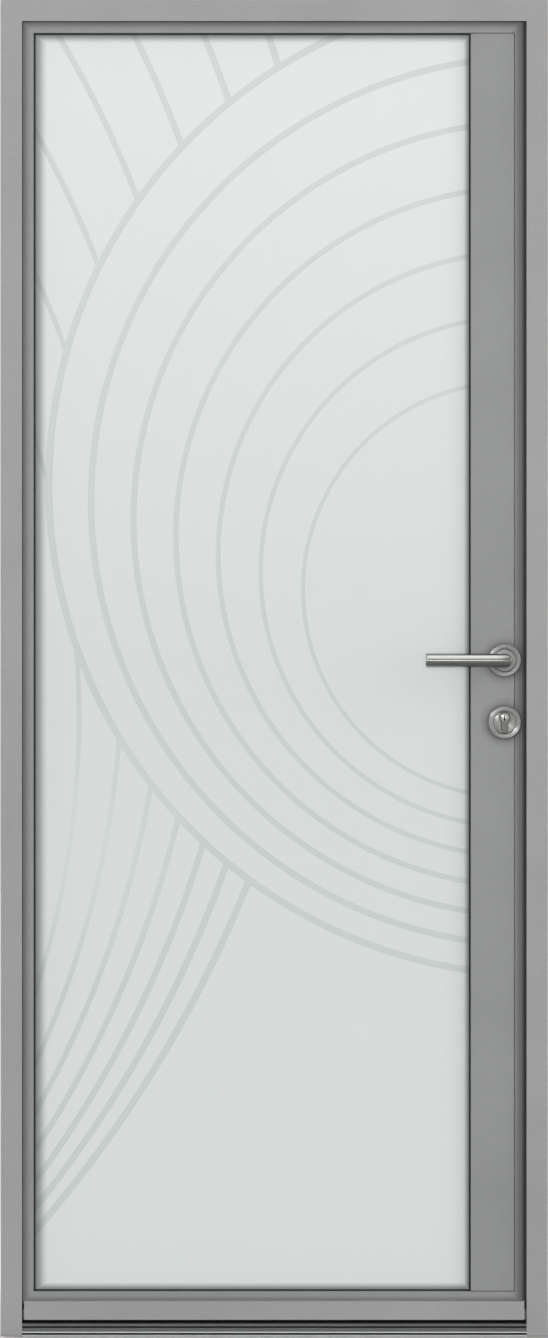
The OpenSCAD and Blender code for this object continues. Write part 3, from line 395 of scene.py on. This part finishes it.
# painted shade lies along where the leaf's border meets the frame's lip on three sides and the drip bar
# below
border_steps = (("X", -409.3, 18), ("X", 402.5, -20), ("Z", 2119.5, -17), ("Z", 50, 16))
leaf_coat = powder_coat("powder_coat_leaf", "#848585", "#8f9090", border_steps, ROSE_MIDDLES)
strip_coat = powder_coat("powder_coat_strip", "#848585", "#8f9090", (), ROSE_MIDDLES)
mill_aluminium = brushed_metal("extruded_aluminium", "#97999a", "#aaacad", (60, 1, 1), 0.38)
threshold_metal = threshold_aluminium()
lever_steel = brushed_metal("brushed_stainless_lever", "#838482", "#939492", (50, 1, 1), 0.12)
upper_rose_steel = turned_metal("turned_stainless_lever_rose", "#7f807e", "#909190",
                                HANDLE_X, HANDLE_Z)
lower_rose_steel = turned_metal("turned_stainless_cylinder_rose", "#7f807e", "#909190",
                                HANDLE_X, LOWER_ROSE_Z)
plain_steel = brushed_metal("brushed_stainless_hardware", "#9d9c98", "#b5b4b0", (1, 1, 40), 0.3)
# cool bright zinc, slightly clouded
zinc_steel = plain_grain("zinc_plated_steel", "#9a9c9c", "#b2b5b3", 5, 0.34, 1.0)
# satin nickel, warm and dull beside the polished plug
nickel = plain_grain("nickel_plated_brass", "#605f5c", "#6d6c69", 6, 0.3, 1.0, 0.04)
plug_nickel = plug_metal()
# extruded rubber, nearly black and matt
gasket_rubber = plain_grain("epdm_rubber", "#121314", "#1d1e1f", 3, 0.6, 0.0, 0.15)
# moulded polyamide, black with a dry sheen from its glass fibres
polyamide = plain_grain("glass_filled_polyamide", "#191a1b", "#26282a", 2.5, 0.5, 0.0, 0.15)
frosted_glass = frosted_pane()
clear_glass = clear_pane()


# Finish of the solids


coats = {
    frame_coat: "hinge_jamb_outer hinge_jamb_inner lock_jamb_outer lock_jamb_inner head_outer head_inner "
                "drip_bar",
    leaf_coat: "hinge_stile_outer hinge_stile_inner lock_stile_outer lock_stile_inner top_rail_outer "
               "top_rail_inner bottom_rail_outer bottom_rail_inner",
    strip_coat: "lock_strip_outer lock_strip_inner hinge_side_bead lock_side_bead top_bead bottom_bead "
                "door_bottom",
    threshold_metal: "threshold_outer threshold_inner",
    mill_aluminium: "frame_cleats leaf_cleats lock_post pane_spacer",
    lever_steel: "outer_lever inner_lever",
    upper_rose_steel: "outer_lever_rose inner_lever_rose",
    lower_rose_steel: "outer_cylinder_rose inner_cylinder_rose",
    plain_steel: "lock_faceplate lock_keep head_keep hinge_jamb_flaps hinge_leaf_flaps hinge_pins "
                 "thumb_turn",
    zinc_steel: "lock_case spindle follower latch_bolt deadbolt upper_rod lower_rod cylinder_cam",
    nickel: "cylinder_body",
    plug_nickel: "outer_plug",
    gasket_rubber: "frame_seal outer_gasket inner_gasket bottom_seal setting_blocks",
    polyamide: "frame_breaks leaf_breaks",
    frosted_glass: "outer_pane",
    clear_glass: "inner_pane",
}
for coat, names in coats.items():
    for name in names.split():
        for material_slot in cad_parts[name].material_slots:
            material_slot.material = coat


# Pieces that replace plain solids or add small parts


def place_piece(name, mesh, material, body, smooth=30):
    """Links a finished mesh as a piece that moves with a body."""
    mesh.materials.clear()
    mesh.materials.append(material)
    mesh.polygons.foreach_set("use_smooth", [True] * len(mesh.polygons))
    mesh.set_sharp_from_angle(angle=math.radians(smooth))
    piece = bpy.data.objects.new(name, mesh)
    bpy.context.scene.collection.objects.link(piece)
    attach(piece, body)
    return piece


def skin(name, *shells, looped=False):
    """Mesh of shells, each over rings of equally many points, with flat ends or joined end to end."""
    shape = bmesh.new()
    for rings in shells:
        rows = [[shape.verts.new(Vector(point) * MM) for point in ring] for ring in rings]
        count = len(rows[0])
        pairs = list(zip(rows, rows[1:]))
        if looped:
            pairs.append((rows[-1], rows[0]))
        for a, b in pairs:
            for i in range(count):
                j = (i + 1) % count
                shape.faces.new((a[i], a[j], b[j], b[i]))
        if not looped:
            shape.faces.new(rows[0])
            shape.faces.new(rows[-1])
    bmesh.ops.recalc_face_normals(shape, faces=shape.faces)
    mesh = bpy.data.meshes.new(name)
    shape.to_mesh(mesh)
    shape.free()
    return mesh


def turned(profile, centre, axis, steps=128):
    """Rings of a turned part; the profile gives radius and height along the axis in mm."""
    side = (0, 0, 1) if axis[1] else (0, 1, 0)
    rings = []
    for radius, height in profile:
        ring = []
        for i in range(steps):
            u = radius * math.cos(2 * math.pi * i / steps)
            v = radius * math.sin(2 * math.pi * i / steps)
            ring.append((centre[0] + axis[0] * height + u,
                         centre[1] + axis[1] * height + v * side[1],
                         centre[2] + axis[2] * height + v * side[2]))
        rings.append(ring)
    return rings


def evaluated_mesh(holder, name):
    """The mesh that an object's modifiers make, as a plain mesh."""
    graph = bpy.context.evaluated_depsgraph_get()
    mesh = bpy.data.meshes.new_from_object(holder.evaluated_get(graph))
    mesh.name = name
    spent = holder.data
    bpy.data.objects.remove(holder)
    bpy.data.meshes.remove(spent)
    return mesh


def cut(name, mesh, cutter):
    """The mesh with the cutter's shape taken out of it."""
    holder = bpy.data.objects.new(name + "_blank", mesh)
    knife = bpy.data.objects.new(name + "_knife", cutter)
    for part in (holder, knife):
        bpy.context.scene.collection.objects.link(part)
    opening = holder.modifiers.new("opening", "BOOLEAN")
    opening.operation = "DIFFERENCE"
    opening.solver = "EXACT"
    opening.object = knife
    bpy.context.view_layer.update()
    result = evaluated_mesh(holder, name)
    bpy.data.objects.remove(knife)
    bpy.data.meshes.remove(cutter)
    return result


def at_depths(points, *depths):
    """The same outline at several depths, as rings; points are x and z."""
    return [[(x, y, z) for x, z in points] for y in depths]


def arc(x, z, radius, start, end, steps):
    """Points x and z along an arc in mm, between two angles in degrees."""
    angles = [math.radians(start + (end - start) * i / steps) for i in range(steps + 1)]
    return [(x + radius * math.cos(a), z + radius * math.sin(a)) for a in angles]


def cylinder_outline(play):
    """Outline of the lock cylinder, a round head on a narrower web, with play around it."""
    head, web = 8.5 + play, 5.0 + play
    web_z = CYLINDER_Z - 19.5
    lean = math.degrees(math.asin(web / head))
    return (arc(HANDLE_X, CYLINDER_Z, head, lean - 90, 270 - lean, 48)
            + arc(HANDLE_X, web_z, web, 180, 360, 24))


def long_round(half_width, half_length):
    """Outline of a bar with round ends round the cylinder's axis."""
    reach = half_length - half_width
    return (arc(HANDLE_X, CYLINDER_Z + reach, half_width, 0, 180, 32)
            + arc(HANDLE_X, CYLINDER_Z - reach, half_width, 180, 360, 32))


def lever_rings(face, out):
    """Rings of a lever: a round neck, a rounded mitre, a grip towards the hinges and its soft end."""
    steps = [2 * math.pi * i / 96 for i in range(96)]
    section = [(LEVER_RADIUS * math.cos(a), LEVER_RADIUS * math.sin(a)) for a in steps]
    rings = []
    neck_heights = (0.6, 9, 30)
    for height in neck_heights:
        rings.append([(HANDLE_X + u, face + out * height, HANDLE_Z + v) for u, v in section])
    mitre_round = 2.6
    for i in range(9):
        turn = i / 8
        middle_x = HANDLE_X - mitre_round * turn ** 2
        reach = LEVER_REACH - mitre_round * (1 - turn) ** 2
        rings.append([(middle_x + u, face + out * (reach + u), HANDLE_Z + v) for u, v in section])
    soft_end = ((1.4, 1), (0.9, 1), (0.4, 0.985), (0.1, 0.955), (0, 0.91), (0, 0.85), (0, 0.3))
    grip = [(15, 1), (60, 1)] + [(LEVER_LENGTH - short, scale) for short, scale in soft_end]
    for along, scale in grip:
        rings.append([(HANDLE_X - along, face + out * (LEVER_REACH + u * scale), HANDLE_Z + v * scale)
                      for u, v in section])
    return rings


# Handles and lock cylinder, outside and inside
rose_rim = [(ROSE_RADIUS, 0.0), (ROSE_RADIUS, 7.9), (25.85, 8.25), (25.5, 8.45), (25.1, 8.5)]
rose_groove = [
    (19.0, 8.5), (18.8, 8.44), (18.45, 8.15), (18.2, 8.1),
    (18.0, 8.2), (17.6, 8.8), (17.35, 8.96), (17.0, 9.0),
]
rose_face = rose_rim + rose_groove
rose_bore = [(11.3, 9.0), (11.3, 0.0)]
for side, face, out in (("outer", OUTER_FACE, -1), ("inner", INNER_FACE, 1)):
    upper = skin(side + "_rose_upper",
                 turned(rose_face + rose_bore, (HANDLE_X, face, HANDLE_Z), (0, out, 0)), looped=True)
    piece = place_piece(side + "_rose_upper", upper, upper_rose_steel, "leaf_set")
    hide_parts(side + "_lever_rose")

    blank = skin(side + "_rose_disc", turned(rose_face, (HANDLE_X, face, LOWER_ROSE_Z), (0, out, 0)))
    opening = skin(side + "_rose_opening",
                   at_depths(cylinder_outline(0.9), face - 5 * out, face + 15 * out))
    lower = cut(side + "_rose_lower", blank, opening)
    piece = place_piece(side + "_rose_lower", lower, lower_rose_steel, "leaf_set")
    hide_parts(side + "_cylinder_rose")

    # dark moulded lining between the rose and the cylinder: painted shade, a dark piece that draws the
    # shadowed gap as a dark line round it
    low, high = face + 0.2 * out, face + 8.2 * out
    gap_shade = skin(side + "_cylinder_gap_shade",
                  at_depths(cylinder_outline(0.85), low, high)
                  + at_depths(cylinder_outline(0.1), high, low), looped=True)
    place_piece(side + "_cylinder_gap_shade", gap_shade, polyamide, "leaf_set")

    tube = skin(side + "_lever_tube", lever_rings(face, out))
    piece = place_piece(side + "_lever_tube", tube, lever_steel, "handle_set", 40)
    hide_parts(side + "_lever")

# plug with a waved key slot in its slightly domed face
plug_face_y = box("outer_plug")[0][Y]
plug_profile = [(6.5, -37.6), (6.5, -0.5), (6.35, -0.3), (6.0, -0.18), (4.0, -0.06), (1.5, 0.0)]
plug = skin("cylinder_plug_blank",
            turned(plug_profile, (HANDLE_X, plug_face_y, CYLINDER_Z), (0, -1, 0), 96))
wave = [
    (-1.3, -5), (1.3, -5), (1.3, -2.2), (0.5, -1.4), (0.5, 0.4), (1.3, 1.2),
    (1.3, 4), (-1.1, 4), (-1.1, 1.6), (-1.9, 0.8), (-1.9, -1), (-1.3, -1.8),
]
key_slot = skin("key_slot", at_depths([(HANDLE_X + x, CYLINDER_Z + z) for x, z in wave], -36, -12))
piece = place_piece("cylinder_plug", cut("cylinder_plug", plug, key_slot), plug_nickel,
                    "key_set")
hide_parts("outer_plug")

# thumb turn: shaft, round collar and a bar with rounded edges
collar_foot = (HANDLE_X, 51.6, CYLINDER_Z)
shaft = turned([(6.5, -37.2), (6.5, 0.2)], collar_foot, (0, 1, 0), 96)
collar = turned([(9, 0), (9, 3.2), (8.8, 3.7), (8.3, 4)], collar_foot, (0, 1, 0), 96)
bar_edges = ((0.5, 55.5), (0, 56.3), (0, 72.4), (0.3, 73.1), (0.9, 73.5), (1.6, 73.6))
bar = [at_depths(long_round(4.5 - inset, 16.5 - inset), y)[0] for inset, y in bar_edges]
piece = place_piece("inner_thumb_turn", skin("inner_thumb_turn", shaft, collar, bar), plain_steel,
                    "key_set", 40)
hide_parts("thumb_turn")

# caps on both ends of the hinge barrels
crown = [(8.9, 0), (8.9, 0.9), (8.6, 1.6), (7.6, 2.3), (5.8, 2.8), (3.4, 3.1), (1.2, 3.2)]
for body, name, rise in (("frame_set", "lower_hinge_caps", -1), ("leaf_set", "upper_hinge_caps", 1)):
    feet = [(HINGE_X, HINGE_Y, level + BARREL_HALF * rise) for level in HINGE_LEVELS]
    caps = [turned(crown, foot, (0, 0, rise), 64) for foot in feet]
    place_piece(name, skin(name, *caps), plain_steel, body, 40)

# end caps in the hollow of the drip bar
ends = []
for way in (-1, 1):
    rings = []
    for x, inset in ((399.5, 0), (401.6, 0), (402.0, 0.4), (402.0, 3.0)):
        low_y, high_y, low_z, high_z = -35.95 + inset, -24.05 - inset, 29.55 + inset, 53.4 - inset
        corners = ((low_y, low_z), (high_y, low_z), (high_y, high_z), (low_y, high_z))
        rings.append([(way * x, y, z) for y, z in corners])
    ends.append(rings)
place_piece("drip_bar_caps", skin("drip_bar_caps", *ends), polyamide, "leaf_set")


def screw_tree():
    """Geometry nodes that put a socket head on each point, turned to its facing and scaled by its size."""
    tree = bpy.data.node_groups.new("screw_heads", "GeometryNodeTree")
    sockets = tree.interface
    sockets.new_socket("Geometry", in_out="OUTPUT", socket_type="NodeSocketGeometry")
    sockets.new_socket("Geometry", in_out="INPUT", socket_type="NodeSocketGeometry")
    for label in ("Head Radius", "Head Height", "Socket Radius"):
        sockets.new_socket(label, in_out="INPUT", socket_type="NodeSocketFloat")
    sockets.new_socket("Material", in_out="INPUT", socket_type="NodeSocketMaterial")
    given = tree.nodes.new("NodeGroupInput").outputs
    top = add(tree, "ShaderNodeMath", {0: given["Head Radius"], 1: 0.84}, operation="MULTIPLY")
    head = add(tree, "GeometryNodeMeshCone",
               {"Vertices": 32, "Radius Top": top.outputs[0], "Radius Bottom": given["Head Radius"],
                "Depth": given["Head Height"]})
    bit = add(tree, "GeometryNodeMeshCylinder",
              {"Vertices": 6, "Radius": given["Socket Radius"], "Depth": given["Head Height"]})
    lift = add(tree, "ShaderNodeCombineXYZ", {"Z": given["Head Height"]})
    raised = add(tree, "GeometryNodeTransform",
                 {"Geometry": bit.outputs["Mesh"], "Translation": lift.outputs[0]})
    socketed = add(tree, "GeometryNodeMeshBoolean",
                   {"Mesh 1": head.outputs["Mesh"], "Mesh 2": raised.outputs[0]}, operation="DIFFERENCE")
    facing = add(tree, "GeometryNodeInputNamedAttribute", {"Name": "facing"}, data_type="FLOAT_VECTOR")
    size = add(tree, "GeometryNodeInputNamedAttribute", {"Name": "size"}, data_type="FLOAT")
    turn = add(tree, "FunctionNodeAlignRotationToVector", {"Vector": facing.outputs[0]}, axis="Z")
    heads = add(tree, "GeometryNodeInstanceOnPoints",
                {"Points": given["Geometry"], "Instance": socketed.outputs["Mesh"],
                 "Rotation": turn.outputs[0], "Scale": size.outputs[0]})
    real = add(tree, "GeometryNodeRealizeInstances", {"Geometry": heads.outputs[0]})
    coated = add(tree, "GeometryNodeSetMaterial",
                 {"Geometry": real.outputs[0], "Material": given["Material"]})
    add(tree, "NodeGroupOutput", {"Geometry": coated.outputs[0]})
    return tree


def screws(name, body, tree, sizes, places):
    """One piece of screw heads for a body; places give a point, the way it faces and its scale."""
    spots = bpy.data.meshes.new(name + "_spots")
    spots.from_pydata([Vector(point) * MM for point, way, scale in places], [], [])
    spots.attributes.new("facing", "FLOAT_VECTOR", "POINT")
    spots.attributes.new("size", "FLOAT", "POINT")
    spots.attributes["facing"].data.foreach_set("vector", [v for point, way, scale in places for v in way])
    spots.attributes["size"].data.foreach_set("value", [scale for point, way, scale in places])
    holder = bpy.data.objects.new(name + "_holder", spots)
    bpy.context.scene.collection.objects.link(holder)
    maker = holder.modifiers.new("heads", "NODES")
    maker.node_group = tree
    for socket in tree.interface.items_tree:
        if socket.in_out == "INPUT" and socket.name in sizes:
            maker[socket.identifier] = sizes[socket.name]
    bpy.context.view_layer.update()
    return place_piece(name, evaluated_mesh(holder, name), plain_steel, body)


inward, left, right, down = (0, 1, 0), (-1, 0, 0), (1, 0, 0), (0, 0, -1)
head_tree = screw_tree()
head_sizes = {"Head Radius": 3.6 * MM, "Head Height": 1.3 * MM, "Socket Radius": 1.7 * MM,
              "Material": plain_steel}

# screws of the hinge flaps, near the free edge of each flap
flap_levels = [level + step for level in HINGE_LEVELS for step in (-36, 0, 36)]
flap_face, flap_inset = INNER_FACE + 2.6, 5.5
jamb_x = box("hinge_jamb_flaps")[0][X] + flap_inset
leaf_x = box("hinge_leaf_flaps")[1][X] - flap_inset
jamb_flaps = [((jamb_x, flap_face, z), inward, 1.0) for z in flap_levels]
leaf_flaps = [((leaf_x, flap_face, z), inward, 1.0) for z in flap_levels]

# screws of the keeps and the faceplate, near their ends
lock_y = middle_of("lock_faceplate")[Y]
keep_low, keep_high = box("lock_keep")
keep_levels = (keep_low[Z] + 6, keep_high[Z] - 6)
lock_keep = [((keep_low[X], lock_y, z), left, 0.9) for z in keep_levels]
head_keep_low, head_keep_high = box("head_keep")
# the heads in the frame's head stand 2 mm below their keep
head_screw_z = head_keep_low[Z] - 2
head_keep_places = (head_keep_low[X] + 4.5, head_keep_high[X] - 4.5)
head_keep = [((x, lock_y, head_screw_z), down, 0.8) for x in head_keep_places]
plate_low, plate_high = box("lock_faceplate")
plate_levels = (plate_low[Z] + 9, plate_high[Z] - 9)
faceplate = [((plate_high[X], lock_y, z), right, 0.9) for z in plate_levels]
cylinder_screw = [((plate_high[X], lock_y, CYLINDER_Z), right, 1.0)]

screws("frame_screws", "frame_set", head_tree, head_sizes, jamb_flaps + lock_keep + head_keep)
screws("leaf_screws", "leaf_set", head_tree, head_sizes, leaf_flaps + faceplate + cylinder_screw)

neck_foot = HANDLE_Z - LEVER_RADIUS + 0.1
screws("lever_grub_screws", "handle_set", head_tree, head_sizes,
       [((HANDLE_X, y, neck_foot), down, 0.62) for y in (-38, 56)])


# Stage, light and camera

PALE = "#d2d2d1"


def area_lamp(name, place, target, size, power):
    """A rectangular lamp aimed at a point, hidden from the camera; metres and watts."""
    lamp = bpy.data.lights.new(name, "AREA")
    lamp.shape = "RECTANGLE"
    lamp.size, lamp.size_y = size
    lamp.energy = power
    holder = bpy.data.objects.new(name, lamp)
    bpy.context.scene.collection.objects.link(holder)
    holder.visible_camera = False
    holder.location = place
    holder.rotation_euler = (Vector(target) - Vector(place)).to_track_quat("-Z", "Y").to_euler()
    return holder


def stage_sheet(name, corners, material):
    """A flat sheet of the stage with four corners in metres."""
    mesh = bpy.data.meshes.new(name)
    mesh.from_pydata(corners, [], [(0, 1, 2, 3)])
    mesh.materials.append(material)
    sheet = bpy.data.objects.new(name, mesh)
    bpy.context.scene.collection.objects.link(sheet)
    return sheet


def straight_rays(tree):
    """1 for rays from the camera, metal or glass, which see the plain background; 0 for scattered light."""
    path = add(tree, "ShaderNodeLightPath").outputs
    mirrored = add(tree, "ShaderNodeMath",
                   {0: path["Is Glossy Ray"], 1: path["Is Transmission Ray"]}, operation="MAXIMUM")
    either = add(tree, "ShaderNodeMath",
                 {0: path["Is Camera Ray"], 1: mirrored.outputs[0]}, operation="MAXIMUM")
    return either.outputs[0]


def studio_floor():
    # Painted board: pale and matt. Far from the object it takes the plain tone of the background.
    material, tree, shader, place = start_material("pale_studio_floor", 0.7)
    # faint clouds in the paint
    cloud = add(tree, "ShaderNodeTexNoise", {"Vector": place, "Scale": per_mm(300), "Detail": 4.0})
    tone = add(tree, "ShaderNodeMix",
               {SHARE: cloud.outputs["Fac"], FIRST: linear("#cccccb"), SECOND: linear("#d3d3d2")},
               data_type="RGBA").outputs[MIXED]
    away = add(tree, "ShaderNodeVectorMath", {0: place}, operation="LENGTH")
    far = add(tree, "ShaderNodeMapRange", {"Value": away.outputs["Value"], "From Min": 0.9, "From Max": 3.2},
              interpolation_type="SMOOTHSTEP")
    plain = add(tree, "ShaderNodeMath", {0: far.outputs[0], 1: straight_rays(tree)}, operation="MULTIPLY")
    board = add(tree, "ShaderNodeMix", {SHARE: plain.outputs[0], FIRST: tone, SECOND: linear("#000000")},
                data_type="RGBA").outputs[MIXED]
    feed(tree, shader, {"Base Color": board, "Emission Strength": plain.outputs[0]})
    shader.inputs["Emission Color"].default_value = linear(PALE)
    return material


# half a millimetre below the threshold, so that the faces don't fight
half_floor, floor_z = 60, -0.0005
stage_sheet("studio_floor",
            [(-half_floor, -half_floor, floor_z), (half_floor, -half_floor, floor_z),
             (half_floor, half_floor, floor_z), (-half_floor, half_floor, floor_z)], studio_floor())

# Black cloth in front, below the overhead strip: only metal mirrors it, as a dark line along the lever.
flag = stage_sheet("black_flag",
                   [(-0.15, -3.0, 2.0), (0.77, -3.0, 2.0), (0.77, -3.0, 2.75), (-0.15, -3.0, 2.75)],
                   plain_grain("black_velvet", "#050505", "#090909", 4, 0.9))
flag.visible_camera = False
flag.visible_diffuse = False
flag.visible_shadow = False

world = bpy.data.worlds.new("soft_studio")
bpy.context.scene.world = world
world.use_nodes = True
sky = world.node_tree
sky.nodes.clear()
shown = add(sky, "ShaderNodeMix",
            {SHARE: straight_rays(sky), FIRST: linear("#818181"), SECOND: linear(PALE)}, data_type="RGBA")
glow = add(sky, "ShaderNodeBackground", {"Color": shown.outputs[MIXED], "Strength": 1.0})
add(sky, "ShaderNodeOutputWorld", {"Surface": glow.outputs[0]})

middle = (0, 0, 1.1)
# The softboxes give the even light: most from the right and, behind the door, from the inside.
area_lamp("key_softbox", (6.0, -5.0, 3.1), middle, (6.0, 6.0), 195)
area_lamp("left_softbox", (-6.0, -5.0, 2.9), middle, (5.0, 5.0), 40)
area_lamp("inside_softbox", (-2.5, 6.5, 4.2), middle, (4.0, 4.0), 380)
# The strips draw the two bright bands along the lever.
area_lamp("overhead_strip", (0.31, -2.0, 4.1), (0.31, -0.07, 1.09), (0.45, 5.0), 17.5)
area_lamp("front_strip", (0.2, -6.0, 1.5), (0.31, 0, 1.09), (0.9, 0.8), 13)
# Only metal and other gloss mirrors the kicker: it draws the bright fan on the turned roses.
left_kicker = area_lamp("left_kicker", (-1.9, -6.0, 2.6), middle, (0.9, 0.9), 80)
left_kicker.visible_diffuse = False
# The fill lights the matt faces from beside the camera, without deep shadows, and isn't mirrored.
front_fill = area_lamp("front_fill", (0.2, -9.0, 1.15), middle, (0.9, 0.9), 346)
front_fill.visible_glossy = False

# The photograph is a straight elevation; 1338 px of height cover 2153 mm in the frame's face at -40 mm.
distance = 30.0
covered = 2.1533
camera_data = bpy.data.cameras.new("camera")
camera_data.sensor_width = 36.0
camera_data.clip_end = 1000.0
camera_data.lens = camera_data.sensor_width * distance / covered
camera = bpy.data.objects.new("camera", camera_data)
bpy.context.scene.collection.objects.link(camera)
camera.location = (-0.0004, -0.040 - distance, 1.0732)
camera.rotation_euler = (math.radians(90), 0, 0)
bpy.context.scene.camera = camera
bpy.context.scene.view_settings.view_transform = "Standard"
